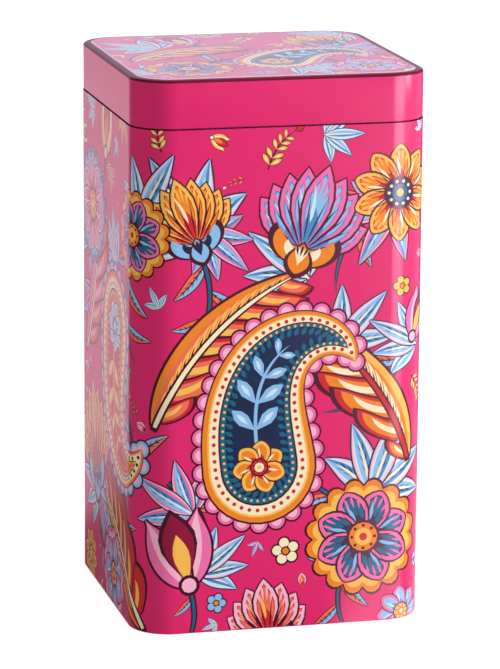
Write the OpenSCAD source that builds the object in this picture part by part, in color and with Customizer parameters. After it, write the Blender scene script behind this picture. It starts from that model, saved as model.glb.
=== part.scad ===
// Square storage caddy of printed tinplate: a folded body wall with a lock seam, a base panel held in the
// wall's bottom hem, a neck ring, a flush drawn lid, and a press-in inner lid with a riveted knob.
// +Z is up, the caddy stands on z = 0, and its middle is on the Z axis. All sizes are in millimetres.

/* [Body] */
// Outer width and depth of the body
body_w = 80; // [66:1:100]
// Height of the closed caddy
total_h = 150; // [90:1:190]
// Outer radius of the four upright corners
corner_r = 11; // [8:0.5:16]
// Thickness of the tinplate sheet
sheet_t = 0.28; // [0.2:0.02:0.36]
// Width of the folded lock seam on the inside of the back wall
seam_w = 4; // [3:0.5:6]
// Depth of the hairline groove that shows outside at the lock seam
seam_groove = 0.1; // [0.04:0.02:0.16]

/* [Base] */
// Height of the inward hem at the foot of the wall
hem_h = 2.4; // [1.6:0.1:4]
// Gap between the hem's upper edge and the base panel
hem_gap = 0.3; // [0.1:0.05:0.6]
// Width of the base panel's flat border
base_border = 4; // [2:0.5:5]
// Rise of the middle of the base panel above its border
base_step_h = 0.6; // [0.3:0.1:1.2]

/* [Neck] */
// Length of the neck ring that is inside the body wall
neck_depth = 9; // [6:0.5:14]
// Height of the folded hem at the neck's mouth
neck_hem_h = 2; // [1.2:0.2:3]
// Width of the butt gap where the neck strip's ends meet
neck_butt = 0.4; // [0.2:0.1:0.8]

/* [Lid] */
// Height of the lid's skirt, from its lower edge to its flat border
lid_skirt_h = 12.8; // [9:0.2:18]
// Gap that shows between the wall's top edge and the lid's lower edge
lid_gap = 0.25; // [0.2:0.05:0.8]
// How far the lid's skirt lies behind the wall's outer face, on each side
lid_inset = 0.1; // [0:0.05:0.2]
// Height of the folded hem at the lid's lower edge
lid_hem_h = 2.2; // [1.4:0.2:3]
// Outer radius of the bend between the lid's skirt and its top
lid_edge_r = 0.7; // [0.4:0.05:0.9]
// Width of the flat border round the lid's raised panel, from the outside of the skirt
lid_border = 2.1; // [1.6:0.1:4]
// Rise of the lid's panel above its border
lid_panel_h = 0.2; // [0.1:0.05:0.6]
// Width of the slope between the lid's border and its raised panel
lid_slope_w = 0.5; // [0.3:0.1:1.2]
// Running clearance between the lid's hem and the neck, on each side
lid_fit = 0.12; // [0.06:0.02:0.2]

/* [Inner lid] */
// Depth of the finger well in the inner lid
well_depth = 9.4; // [8:0.2:14]
// Clearance between the inner lid's plug and the neck's mouth, on each side
plug_fit = 0.06; // [0.03:0.01:0.12]
// Diameter of the knob
knob_d = 15; // [12:0.5:22]
// Gap between the knob's top and the lid's rim above it
knob_gap = 2; // [0.6:0.1:2.6]
// Diameter of the rivet's shank
rivet_d = 3; // [2.4:0.2:4]
// Diameter of the rivet's head
rivet_head_d = 6; // [5:0.5:9]
// Thickness of the washer between the rivet's head and the inner lid
washer_t = 0.5; // [0.3:0.1:1]

/* [Hidden] */
$fn = 64;
slip = 0.04;        // gap between sheets that are folded or riveted together
seat = 0.01;        // gap between faces that bear on each other
lap = 1;            // overlap of the shapes that are joined into one sheet
bend_steps = 4;     // straight steps in a quarter bend
half = body_w / 2;
wall_in = half - sheet_t;

// base: its flange hangs in the channel between the wall and the hem
flange_out = wall_in - slip;
hem_out = flange_out - sheet_t - slip;
flange_low = sheet_t + slip;
base_low = hem_h + hem_gap;
base_top = base_low + base_step_h;

// heights, from the lid's top down
border_top = total_h - lid_panel_h;
lid_under = border_top - sheet_t;
lid_low = border_top - lid_skirt_h;
wall_h = lid_low - lid_gap;
rim_top = lid_under - seat;
neck_top = rim_top - sheet_t - seat;
neck_low = wall_h - neck_depth;

// widths, from the lid's skirt inwards
lid_half = half - lid_inset;
lid_in = lid_half - sheet_t;
lid_hem_in = lid_in - sheet_t;
neck_out = lid_hem_in - lid_fit;
neck_in = neck_out - sheet_t;
mouth_in = neck_in - sheet_t;
plug_out = mouth_in - plug_fit;
plug_in = plug_out - sheet_t;

// inner lid
floor_top = rim_top - well_depth;
floor_low = floor_top - sheet_t;
rivet_hole_d = rivet_d + 2 * slip;
washer_d = rivet_head_d + 2;
head_h = 0.8;
head_top = floor_low - washer_t - 2 * seat;
knob_low = floor_top + seat;
knob_h = well_depth - knob_gap;
knob_head_h = 2.8;
knob_web = 3;       // knob metal left above the rivet's shank

// Points of a bend of radius r round [x, z], from angle a0 to a1.
function bend(x, z, r, a0, a1) =
    [for (i = [0:bend_steps]) let (a = a0 + (a1 - a0) * i / bend_steps) [x + r * cos(a), z + r * sin(a)]];

// A square of half width h whose rounded corners share their centres with the wall's.
module outline(h) {
    r = corner_r - (half - h);
    square([2 * h, 2 * (h - r)], center = true);
    square([2 * (h - r), 2 * h], center = true);
    for (x = [-1, 1], y = [-1, 1])
        translate([x * (h - r), y * (h - r)]) circle(r);
}

// A flat sheet of half width h.
module sheet(h, low) {
    translate([0, 0, low]) linear_extrude(sheet_t) outline(h);
}

// Sweeps a section round the caddy. Its first coordinate is the distance from the middle, its second is z.
module around() {
    side = 2 * (half - corner_r);
    for (q = [0:3]) rotate(90 * q) {
        translate([0, side / 2, 0]) rotate([90, 0, 0]) linear_extrude(side) children();
        translate([side / 2, side / 2, 0]) rotate_extrude(angle = 90)
            translate([-side / 2, 0]) children();
    }
}

module body_wall() {
    seam_low = base_low + sheet_t + slip;
    seam_high = neck_low - lap;
    color([0.87, 0.13, 0.42]) difference() {
        union() {
            around() polygon(concat(
                bend(wall_in, sheet_t, sheet_t, 0, -90),
                bend(hem_out, sheet_t, sheet_t, -90, -180),
                [[hem_out - sheet_t, hem_h], [hem_out, hem_h], [hem_out, sheet_t], [wall_in, sheet_t],
                 [wall_in, wall_h], [half, wall_h]]));
            translate([-seam_w / 2, wall_in - 2 * sheet_t, seam_low])
                cube([seam_w, 2.5 * sheet_t, seam_high - seam_low]);
        }
        translate([-seam_w / 2, half - seam_groove, -lap])
            cube([2 * seam_groove, sheet_t, wall_h + 2 * lap]);
    }
}

module base_panel() {
    step = flange_out - base_border;
    color([0.78, 0.78, 0.8]) {
        around() polygon([
            [flange_out, flange_low], [flange_out, base_low + sheet_t], [step, base_low + sheet_t],
            [step - base_step_h, base_top + sheet_t], [step - base_step_h - lap, base_top + sheet_t],
            [step - base_step_h - lap, base_top], [step - base_step_h, base_top], [step, base_low],
            [flange_out - sheet_t, base_low], [flange_out - sheet_t, flange_low]]);
        sheet(step - base_step_h - lap / 2, base_top);
    }
}

module neck_ring() {
    low_out = wall_in - seat;
    shoulder = wall_h - lap;
    joggle = shoulder - (low_out - neck_out);
    color([0.8, 0.8, 0.82]) difference() {
        around() polygon(concat(
            [[low_out, neck_low], [low_out, joggle], [neck_out, shoulder]],
            bend(neck_in, neck_top - sheet_t, sheet_t, 0, 90),
            [[mouth_in, neck_top], [mouth_in, neck_top - neck_hem_h], [neck_in, neck_top - neck_hem_h],
             [neck_in, shoulder], [low_out - sheet_t, joggle], [low_out - sheet_t, neck_low]]));
        translate([-neck_butt / 2, mouth_in - lap, neck_low - lap])
            cube([neck_butt, half - mouth_in + lap, neck_top - neck_low + 2 * lap]);
    }
}

module lid() {
    step = lid_half - lid_border;
    flat = step - lid_slope_w;
    color([0.87, 0.13, 0.42]) {
        around() polygon(concat(
            bend(lid_in, lid_low + sheet_t, sheet_t, -90, 0),
            bend(lid_half - lid_edge_r, border_top - lid_edge_r, lid_edge_r, 0, 90),
            [[step, border_top], [flat, total_h], [flat - lap, total_h], [flat - lap, total_h - sheet_t],
             [flat, total_h - sheet_t], [step, lid_under]],
            bend(lid_half - lid_edge_r, border_top - lid_edge_r, lid_edge_r - sheet_t, 90, 0),
            [[lid_in, lid_low + lid_hem_h], [lid_hem_in, lid_low + lid_hem_h],
             [lid_hem_in, lid_low + sheet_t], [lid_hem_in + sheet_t / 2, lid_low]]));
        sheet(flat - lap / 2, total_h - sheet_t);
    }
}

module inner_lid_pan() {
    rim_low = neck_top + seat;
    color([0.8, 0.8, 0.82]) difference() {
        union() {
            around() polygon(concat(
                [[neck_out, rim_low], [neck_out, rim_top], [plug_in, rim_top], [plug_in, floor_top],
                 [plug_in - 2 * lap, floor_top], [plug_in - 2 * lap, floor_low]],
                bend(plug_in, floor_low + sheet_t, sheet_t, -90, 0),
                [[plug_out, rim_low]]));
            sheet(plug_in - lap, floor_low);
        }
        translate([0, 0, floor_low - lap]) cylinder(d = rivet_hole_d, h = sheet_t + 2 * lap);
    }
}

module inner_lid_knob() {
    r = knob_d / 2;
    foot = 0.72 * r;
    waist = 0.56 * r;
    crown = 1.2;
    crown_z = knob_h - knob_head_h / 2;
    color([0.7, 0.7, 0.72]) translate([0, 0, knob_low]) difference() {
        rotate_extrude() polygon(concat(
            [[0, 0], [foot, 0], [foot, 0.7], [waist, 1.6], [waist, knob_h - knob_head_h]],
            bend(r - crown, crown_z, crown, -60, 60),
            [[0.4 * r, knob_h], [0, knob_h]]));
        translate([0, 0, -lap]) cylinder(d = rivet_hole_d, h = knob_h - knob_web + slip + lap);
    }
}

module knob_rivet() {
    color([0.6, 0.6, 0.62]) translate([0, 0, head_top]) {
        cylinder(d = rivet_d, h = knob_low + knob_h - knob_web - head_top);
        translate([0, 0, -head_h]) rotate_extrude() polygon([
            [0, 0], [rivet_head_d / 4, 0], [rivet_head_d / 2, head_h / 2], [rivet_head_d / 2, head_h],
            [0, head_h]]);
    }
}

module rivet_washer() {
    color([0.72, 0.72, 0.74]) translate([0, 0, floor_low - seat - washer_t]) difference() {
        cylinder(d = washer_d, h = washer_t);
        translate([0, 0, -lap]) cylinder(d = rivet_hole_d, h = washer_t + 2 * lap);
    }
}

body_wall();
base_panel();
neck_ring();
lid();
inner_lid_pan();
inner_lid_knob();
knob_rivet();
rivet_washer();
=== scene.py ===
# %% [markdown]
# # A square caddy of printed tinplate
# The real object is a tall square tin. Its wall is one printed sheet, bent round four soft corners and
# locked with a folded seam at the back. A drawn lid with a raised panel slips over a plain neck, and a
# second lid with a riveted knob presses into the neck's mouth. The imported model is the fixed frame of
# this scene: each visible piece rides on one of its bodies, and every height comes from its nodes.

# %% Load the frame
import bpy
import math
import numpy as np
from mathutils import Euler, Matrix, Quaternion, Vector
from mathutils.geometry import delaunay_2d_cdt


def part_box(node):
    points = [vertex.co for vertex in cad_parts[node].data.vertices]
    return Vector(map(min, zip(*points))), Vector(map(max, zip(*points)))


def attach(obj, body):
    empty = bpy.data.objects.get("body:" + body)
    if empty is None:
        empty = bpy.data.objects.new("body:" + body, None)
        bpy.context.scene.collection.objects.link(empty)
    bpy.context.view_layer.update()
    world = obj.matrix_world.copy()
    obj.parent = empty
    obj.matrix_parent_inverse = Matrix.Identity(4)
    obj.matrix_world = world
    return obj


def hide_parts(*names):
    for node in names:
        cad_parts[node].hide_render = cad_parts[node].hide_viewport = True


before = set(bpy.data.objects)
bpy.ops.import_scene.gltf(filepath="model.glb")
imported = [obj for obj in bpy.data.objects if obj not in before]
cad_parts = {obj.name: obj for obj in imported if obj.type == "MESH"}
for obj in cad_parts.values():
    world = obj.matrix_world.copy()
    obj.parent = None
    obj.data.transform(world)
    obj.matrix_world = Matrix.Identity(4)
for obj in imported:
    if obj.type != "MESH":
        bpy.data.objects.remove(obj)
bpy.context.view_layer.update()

# %% Sizes in millimetres
# Heights and widths are read off the frame. The sheet, its corner and its hems are the maker's own gauges.
MM = 0.001


def node_box(node):
    """The lowest and highest corner of a frame node, in millimetres."""
    low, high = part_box(node)
    return np.array(low) / MM, np.array(high) / MM


SHEET = 0.28
CORNER = 11.0
SEAM_LEFT = 1.8
SEAM_RIGHT = 2.0
SEAM_DEEP = 0.1
HEM = 2.4
HALF = node_box("body_wall")[1][0]
WALL_TOP = node_box("body_wall")[1][2]
LID_HALF = node_box("lid")[1][0]
LID_LOW = node_box("lid")[0][2]
LID_TOP = node_box("lid")[1][2]
CORE = HALF - CORNER
SIDE = 2 * CORE
ARC = CORNER * math.pi / 2
REPEAT = 2 * (SIDE + ARC)
GIRTH = 2 * REPEAT
print(f"wall {2 * HALF:.1f} wide, {WALL_TOP:.1f} high, {GIRTH:.1f} round")

# %% [markdown]
# ## Camera
# The tin is seen from a little above and from its left front corner, with a long lens, so its upright
# edges stay nearly parallel. The camera stands on a circle round the tin's axis and looks back at it.

# %% Camera
YAW = math.radians(-13.978)
PITCH = math.radians(13.008)
PAN = -0.00052
ROLL = math.radians(0.381)
DISTANCE = 1.0
EYE_HEIGHT = 0.3030
LENS = 200.5


def placed(name, data):
    """A new object in the scene."""
    made = bpy.data.objects.new(name, data)
    bpy.context.scene.collection.objects.link(made)
    return made


camera = placed("camera", bpy.data.cameras.new("camera"))
camera.data.lens = LENS
camera.data.sensor_width = 36
camera.location = (math.sin(YAW) * DISTANCE, -math.cos(YAW) * DISTANCE, EYE_HEIGHT)
aim = Euler((math.pi / 2 - PITCH, 0, YAW + PAN)).to_quaternion() @ Quaternion((0, 0, 1), ROLL)
camera.rotation_euler = aim.to_euler()
bpy.context.scene.camera = camera
print("camera at", tuple(round(c, 4) for c in camera.location))

# %% [markdown]
# ## Inks and metals
# Tinplate is printed flat, one ink after another, and then varnished. Each ink is a material of its own,
# and the drawing is cut into the sheet as real outlines, so no picture has to be wrapped round the tin.
# The varnish's fine level grain, left by the roller, breaks up the reflections. Hands have worn the lid's
# border dull. Inside and under the lid the sheet is bare: slightly grey steel with the long lines of the
# rolling mill. Where the neck meets the wall it is painted dark maroon as painted shade, so that no bright
# metal flashes through the gap under the closed lid. The wall's cut top edge in that gap is painted shade
# too.

# %% Ink colours
INK_COLOURS = {
    "pink": (226, 36, 108),
    "maroon": (70, 12, 34),
    "navy": (18, 40, 72),
    "teal": (16, 100, 134),
    "blue": (66, 138, 200),
    "sky": (140, 192, 236),
    "ice": (210, 232, 246),
    "orange": (242, 134, 30),
    "coral": (240, 112, 84),
    "gold": (252, 190, 84),
    "cream": (252, 236, 198),
    "red": (208, 36, 44),
    "crimson": (146, 16, 56),
    "rose": (242, 112, 172),
    "blush": (250, 184, 208),
}


def linear(colour):
    """A colour from 0 to 255 as the shader wants it."""
    c = np.array(colour) / 255
    return tuple(np.where(c <= 0.04045, c / 12.92, ((c + 0.055) / 1.055) ** 2.4)) + (1.0,)


# %% Node helpers
EVEN = (1, 1, 1)


class Nodes:
    """The shader nodes of a material or a world. Each node is made and joined in one call."""

    def __init__(self, owner):
        owner.use_nodes = True
        self.links = owner.node_tree.links
        self.nodes = owner.node_tree.nodes

    def feed(self, node, values):
        """Joins an input to a value that is a socket, and sets it to any other value."""
        for name, value in values.items():
            if isinstance(value, bpy.types.NodeSocket):
                self.links.new(value, node.inputs[name])
            else:
                node.inputs[name].default_value = value

    def add(self, kind, values, out=0, **settings):
        """Makes a node and returns one of its outputs."""
        node = self.nodes.new("ShaderNode" + kind)
        for name, value in settings.items():
            setattr(node, name, value)
        self.feed(node, values)
        return node.outputs[out]

    def mixed(self, factor, a, b):
        """A colour that turns from one into the other."""
        return self.add("Mix", {"Factor": factor, "A": a, "B": b}, "Result", data_type="RGBA")

    def grain(self, scale, fineness):
        """Noise that is stretched by three scales, in units of the object."""
        place = self.add("Mapping", {"Vector": self.add("TexCoord", {}, "Object"), "Scale": scale})
        return self.add("TexNoise", {"Vector": place, "Scale": fineness, "Detail": 3.0})


# %% Inks
def new_finish(name, bumps, patches, rough, depth, values):
    """A material. One grain gives its height, another or the same one its roughness."""
    finish = bpy.data.materials.new(name)
    nodes = Nodes(finish)
    height = nodes.grain(*bumps)
    worn = nodes.grain(*patches) if patches else height
    values["Roughness"] = nodes.add("MapRange", {"Value": worn, "To Min": rough[0], "To Max": rough[1]})
    values["Normal"] = nodes.add("Bump", {"Strength": 1.0, "Distance": depth, "Height": height})
    nodes.feed(nodes.nodes["Principled BSDF"], values)
    return finish, nodes


def varnished(name):
    """One ink under a satin varnish with a level roller grain."""
    values = {"Base Color": linear(INK_COLOURS[name]), "IOR": 1.5}
    return new_finish("ink_" + name, ((0.12, 0.12, 1.0), 2600), (EVEN, 90), (0.17, 0.25), 0.000004, values)[0]


def dull(name, colour, fineness, rough, depth, shine):
    """A coat that hardly shines: rubbed ink, or painted shade on a cut edge."""
    values = {"Base Color": linear(colour), "Specular IOR Level": shine}
    return new_finish(name, (EVEN, fineness), None, rough, depth, values)[0]


# %% Metals
SHADE_FADE = 0.0006


def metal(name, tone, rough, lines, painted_shade_top=None):
    """Metal with lines along the way it was rolled, drawn or turned. Below a given height it may be painted
    dark maroon as painted shade.
    """
    finish, nodes = new_finish(name, (lines, 1500), None, rough, 0.000003, {})
    colour = nodes.mixed(nodes.grain(EVEN, 60), linear([c * 0.9 for c in tone]), linear(tone))
    bare = 1.0
    if painted_shade_top:
        height = nodes.add("SeparateXYZ", {"Vector": nodes.add("TexCoord", {}, "Object")}, "Z")
        bare = nodes.add("MapRange", {"Value": height, "From Min": painted_shade_top, "From Max": painted_shade_top + SHADE_FADE})
        # Below the height the metal turns dark maroon and matt: painted shade for the gap under the closed
        # lid.
        colour = nodes.mixed(bare, linear((92, 14, 42)), colour)
    nodes.feed(nodes.nodes["Principled BSDF"], {"Base Color": colour, "Metallic": bare})
    return finish


TIN = (214, 214, 210)
TINPLATE = metal("bare_tinplate", TIN, (0.2, 0.34), (1, 1, 0.06))
# The neck's foot, seen through the gap under the closed lid, gets painted shade up to just above the wall's
# top.
NECK = metal("neck_tinplate", TIN, (0.2, 0.34), (1, 1, 0.06), WALL_TOP * MM + SHADE_FADE)
TURNED = metal("turned_steel", (220, 221, 224), (0.1, 0.2), (0.05, 0.05, 1))
DRAWN = metal("drawn_steel", (190, 191, 194), (0.22, 0.36), (1, 1, 0.2))
FINISHES = {name: varnished(name) for name in INK_COLOURS}
FINISHES["border"] = dull("ink_border", (112, 14, 46), 400, (0.25, 0.38), 0.000004, 0.07)
FINISHES["tin"] = TINPLATE
FINISHES["edge"] = metal("cut_edge", (168, 168, 166), (0.38, 0.5), EVEN)
# The wall's cut top edge sits in the gap under the lid; its dark maroon-brown colour is painted shade.
FINISHES["shade"] = dull("painted_shade_edge", (52, 16, 30), 4000, (0.6, 0.8), 0.000003, 0.1)
NUMBER = {name: i for i, name in enumerate(FINISHES)}
print("finishes:", *FINISHES)

# %% [markdown]
# ## The drawing pen
# The print is an old chintz pattern of this maker's own drawing. A point is a complex number in
# millimetres, because turning and scaling a motif is then one multiplication. A motif is a list of closed
# outlines, each laid over the last, as inks are. The inks of a motif are named in one string, dark line
# first. The first helpers make the outlines that all motifs share.

# %% Circles and strokes
TAU = 2 * math.pi


def circle(centre, radius, steps=16):
    return centre + radius * np.exp(1j * np.linspace(0, TAU, steps, endpoint=False))


def spine(length, turn, power=1.0, steps=24):
    """A line that starts at 0 along +x and has turned by `turn` radians at its end."""
    t = (np.arange(steps) + 0.5) / steps
    return np.append(0, np.cumsum(length / steps * np.exp(1j * turn * t ** power)))


def swell(line, width, skew=0.8, power=0.9):
    """A half width for each point of a line, widest near its middle."""
    return width * np.sin(np.pi * np.linspace(0, 1, len(line)) ** skew) ** power


def stroke(line, left, right=None):
    """The outline of a stroke that reaches `left` and `right` of a line."""
    right = left if right is None else right
    along = np.gradient(line)
    side = 1j * along / np.abs(along)
    return np.concatenate([line + side * left, (line - side * right)[::-1]])


def brush(line, width, start=0.0, widest=0.7):
    """A brush stroke that swells from its start and ends in a point."""
    t = np.linspace(0, 1, len(line))
    return stroke(line, width / 2 * (start + swell(line, 1 - start, widest, 0.8)) * (1 - 0.98 * t ** 6))


# %% Petals and scallops
def petal(length, width, point=0.0, steps=11):
    """A petal from 0 along +x, round at its end, or pointed with a `point` of 1."""
    t = 0.5 - 0.5 * np.cos(np.linspace(0, np.pi, steps))
    half = width / 2 * np.sin(np.pi * t ** 1.3) ** (0.62 + 0.5 * point)
    return np.concatenate([length * t + 1j * half, (length * t - 1j * half)[::-1][1:-1]])


def scallops(radius, count, depth):
    """A round outline of bulging scallops."""
    a = np.linspace(0, TAU, count * 5, endpoint=False)
    return radius * (1 - depth + depth * np.abs(np.sin(a * count / 2)) ** 0.7) * np.exp(1j * a)


# %% Moving the pen
def at(draw, place, turn=0.0, flip=False):
    """The same pen, moved and turned, and mirrored first if asked."""
    by = np.exp(1j * turn)
    return lambda points, ink: draw(place + by * (np.conj(points) if flip else points), ink)


def on(draw, line, k, turn):
    """The pen at point k of a line, turned from the way the line goes there."""
    return at(draw, line[k], np.angle(line[k + 1] - line[k]) + turn)


def fanned(draw, count, spread):
    """Pens for a fan, the outer ones first, and how far out each is, from -1 to 1."""
    middle = (count - 1) / 2
    for i in sorted(range(count), key=lambda i: -abs(i - middle)):
        off = (i - middle) / middle
        yield at(draw, 0, np.pi / 2 - off * spread / 2), off


# %% [markdown]
# ## Flowers
# A printed petal is five flat inks: a dark line, a light edge, a body, a shade at the root and one pale
# stroke. Every flower is made of that petal, so a round flower is only a count, a ring and a centre.

# %% Petals and round flowers
def shaded_petal(draw, length, width, inks, point=0.0):
    """One petal. From 8 mm on it also gets a second, darker edge line and fine strokes from both ends."""
    dark, edge, body, shade, light = inks.split()
    fine = length > 8
    draw(petal(length * 1.05, width * 1.16, point) - 0.02 * length, dark)
    draw(petal(length, width, point), edge)
    if fine:
        draw(0.03 * length + petal(length * 0.89, width * 0.76, point), shade)
    draw(0.05 * length + petal(length * 0.84, width * 0.68, point), body)
    draw(0.02 * length + petal(length * 0.5, width * 0.5, 1.0, 9), shade)
    if fine:
        for side in (-0.5, -0.2, 0.2, 0.5):
            root = at(draw, 0.12 * length + 0.3j * side * width, side * 0.55)
            root(brush(spine(length * (0.62 - 0.2 * abs(side)), side * 0.5, steps=6), width * 0.06), dark)
        for side in (-0.45, -0.15, 0.15, 0.45):
            tip = (0.9 - 0.3 * side * side) * length + 0.75j * side * width
            at(draw, tip, np.pi + side * 0.5)(brush(spine(0.26 * length, 0, steps=5), width * 0.09), edge)
    draw(0.34 * length + 0.05j * width + brush(spine(length * 0.44, 0.35, steps=6), width * 0.13), light)


def rosette(draw, radius, petals, inks, ring, core):
    """A round flower: a scalloped ring, petals, and a centre with beads. The ring may be left out."""
    dark = inks.split()[0]
    core = core.split()
    spots = np.exp(1j * TAU * np.arange(petals) / petals)
    if ring:
        for reach, depth, ink in zip((1.045, 1, 0.9), (0.12, 0.13, 0.12), [dark] + ring.split()):
            draw(scallops(radius * reach, petals * 2, depth), ink)
    reach = radius * (0.83 if ring else 1)
    for i in range(petals):
        one = at(draw, 0, TAU * (i + 0.5) / petals)
        shaded_petal(one, reach, 2.05 * reach * 0.72 * np.tan(np.pi / petals), inks)
    middle = reach * 0.3
    for size, ink in ((1.18, dark), (1, core[0]), (0.6, core[1])):
        draw(circle(0, middle * size), ink)
    for spot in spots:
        draw(circle(middle * 0.8 * spot, middle * 0.12, 7), core[2])
    draw(circle(0, middle * 0.28, 10), core[3])


def small_flower(draw, radius, edge, body, core):
    for reach, ink in ((0.45, edge), (0.33, body)):
        for spot in np.exp(1j * TAU * np.arange(5) / 5):
            draw(circle(radius * 0.56 * spot, radius * reach, 9), ink)
    draw(circle(0, radius * 0.32, 9), edge)
    draw(circle(0, radius * 0.22, 8), core)


# %% Half flowers
def half_flower(draw, size, petals, inks, cup):
    """Half a flower seen from the side: a fan of pointed petals above a cup."""
    for one, off in fanned(draw, petals, 1.9):
        shaded_petal(one, size * (1 - 0.22 * abs(off)), size * 1.9 / petals ** 0.8, inks, 0.7)
    cup = cup.split()
    for side in (1, -1):
        for reach, ink in zip((1.0, 0.84, 0.5), cup):
            wing = brush(spine(size * 0.55 * reach, 1.7, 1.5, 14), size * 0.22 * reach, 0.8, 0.55)
            draw((wing if side > 0 else -np.conj(wing)) - 0.05j * size, ink)
    down = at(draw, 0.13j * size, -np.pi / 2)
    down(petal(size * 0.44, size * 0.34, 0.3, 13), cup[0])
    down(0.03 * size + petal(size * 0.35, size * 0.25, 0.3, 13), cup[1])
    for side in (-1, 0, 1):
        one = at(down, 0.05 * size + 0.07j * side * size, -0.3 * side)
        one(brush(spine(size * 0.24, 0, steps=6), size * 0.05), cup[2])
        one(brush(spine(size * 0.13, 0, steps=5), size * 0.03), cup[0])


def three_petals(draw, size, inks, throat):
    """A three-petalled flower seen from the side."""
    dark, edge, body, light = inks.split()
    for side in (1, -1):
        line = 1j * spine(size, -0.9 * side, 1.6, 16)
        line = line + swell(line, 0.14 * size * side, 1, 1)
        half = swell(line, 0.2 * size, 0.75, 0.8) * (1 - np.linspace(0, 1, len(line)) ** 5)
        draw(stroke(line, half + 0.03 * size), dark)
        draw(stroke(line, half), edge)
        draw(stroke(line, half * 0.42), light)
    up = at(draw, 0, np.pi / 2)
    for long, wide, ink in ((0.98, 0.46, dark), (0.92, 0.38, body), (0.66, 0.2, throat)):
        up(petal(size * long, size * wide, 0.8), ink)
    draw(circle(0.02j * size, size * 0.13, 12), dark)
    draw(circle(0.02j * size, size * 0.09, 10), light)


# %% [markdown]
# ## The curled drop
# The curled drop with a bent tip is the oldest motif of chintz. It is a stroke along a line that curls
# faster and faster, with a round foot. Bands follow its outline, beads run round it, and a sprig with
# a flower fills it.

# %% Curled drop
def drop_outline(line, size, inset):
    """A stroke along a curling line, with a round bottom and a pointed tip."""
    t = np.linspace(0, 1, len(line))
    half = size * (0.36 * (1 - t) ** 0.66 * (1 + 0.5 * t * (1 - t)) - inset * (1 - 0.5 * t))
    last = int(np.argmax(half < 0.008 * size))
    body = stroke(line[:last + 1], np.append(half[:last], 0))
    low = half[0] * np.exp(1j * np.linspace(np.pi, TAU, 16)[1:-1])
    return np.concatenate([body[:last + 1][::-1], low, body[last + 1:][::-1]])


def row(outline, apart):
    """Places in a row along an outline, and the way it goes at each."""
    closed = np.append(outline, outline[0])
    run = np.append(0, np.cumsum(np.abs(np.diff(closed))))
    s = np.arange(0, run[-1] - apart / 2, apart)
    spots = np.interp(s, run, closed)
    return zip(spots, np.angle(np.interp(s + 0.1, run, closed) - spots))


def curled_drop(draw, size, curl, rim, bands, bead_ink, filling):
    """A lobed rim, bands inside each other, beads and a fringe, and a sprig within."""
    line = 1j * spine(1.32 * size, -curl, 2.0, 40)
    depths, band_inks = bands
    band_inks = band_inks.split()
    flower, leaves, tips = filling

    def beads(inset, apart, radius, ink, steps=6):
        for spot, _ in row(drop_outline(line, size, inset), size * apart):
            draw(circle(spot, size * radius, steps), ink)

    for radius, ink, steps in zip((0.064, 0.052, 0.034), rim.split(), (16, 16, 12)):
        beads(0.0, 0.11, radius, ink, steps)
    for inset, ink in zip(depths, band_inks):
        draw(drop_outline(line, size, inset), ink)
    beads(0.088, 0.052, 0.0135, bead_ink)
    inner = drop_outline(line, size, 0.16)
    inwards = np.sign(np.sum(np.imag(np.conj(inner) * np.roll(inner, -1))))
    for spot, heading in row(inner, size * 0.05):
        at(draw, spot, heading + 1.1 * inwards)(petal(size * 0.06, size * 0.03, 0.8, 6), band_inks[-2])
    beads(0.148, 0.04, 0.009, "gold")
    draw(brush(line[:26], size * 0.022, 0.9, 0.3), leaves)
    for k, long in ((7, 0.2), (12, 0.2), (17, 0.155), (22, 0.11)):
        for side in (1, -1):
            one = on(draw, line, k, side * 0.8)
            one(petal(size * long, size * long * 0.42, 0.8, 7), leaves)
            one(size * long * 0.3 + petal(size * long * 0.5, size * long * 0.15, 0.8, 5), tips)
    dark, edge, _, shade, light = flower.split()
    rosette(draw, size * 0.165, 7, flower, None, f"{shade} {light} {dark} {edge}")


# %% [markdown]
# ## Leaves, stems and sprigs
# These fill the ground between the large motifs. The long leaf is smooth on one side, and on the other
# curling tongues lie over each other, which makes it seem to turn.

# %% Bent leaves and fans
def bent_leaf(draw, length, width, bend, inks):
    """A pointed leaf along a bent line: dark line, edge, body, shade and a light midrib."""
    dark, edge, body, shade, light = inks.split()
    line = spine(length, bend, 1.0, 14)
    half = swell(line, width / 2, 0.85, 0.95)
    fine = length > 12
    draw(stroke(line, half + 0.08 * width), dark)
    draw(stroke(line, half), "blush" if fine else edge)
    if fine:
        draw(stroke(line, half * 0.8), edge)
    draw(stroke(line, half * 0.62, half * 0.5), body)
    draw(stroke(line, 0 * half, half * 0.5), shade)
    for k in (2, 4, 6, 8) if fine else ():
        for side, ink in ((1, shade), (-1, dark)):
            one = on(draw, line, k, side * 0.5)
            one(brush(spine(half[k] * 1.15, -0.5 * side, steps=5), width * 0.07), ink)
    draw(brush(line[:12], width * 0.13, 0.9, 0.3), light)


def leaf_fan(draw, size, leaves, inks, spread=2.2):
    """A fan of bent leaves from one point, the side ones shorter."""
    for one, off in fanned(draw, leaves, spread):
        bent_leaf(one, size * (1 - 0.3 * abs(off)), size * 0.26, -0.5 * off, inks)


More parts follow.
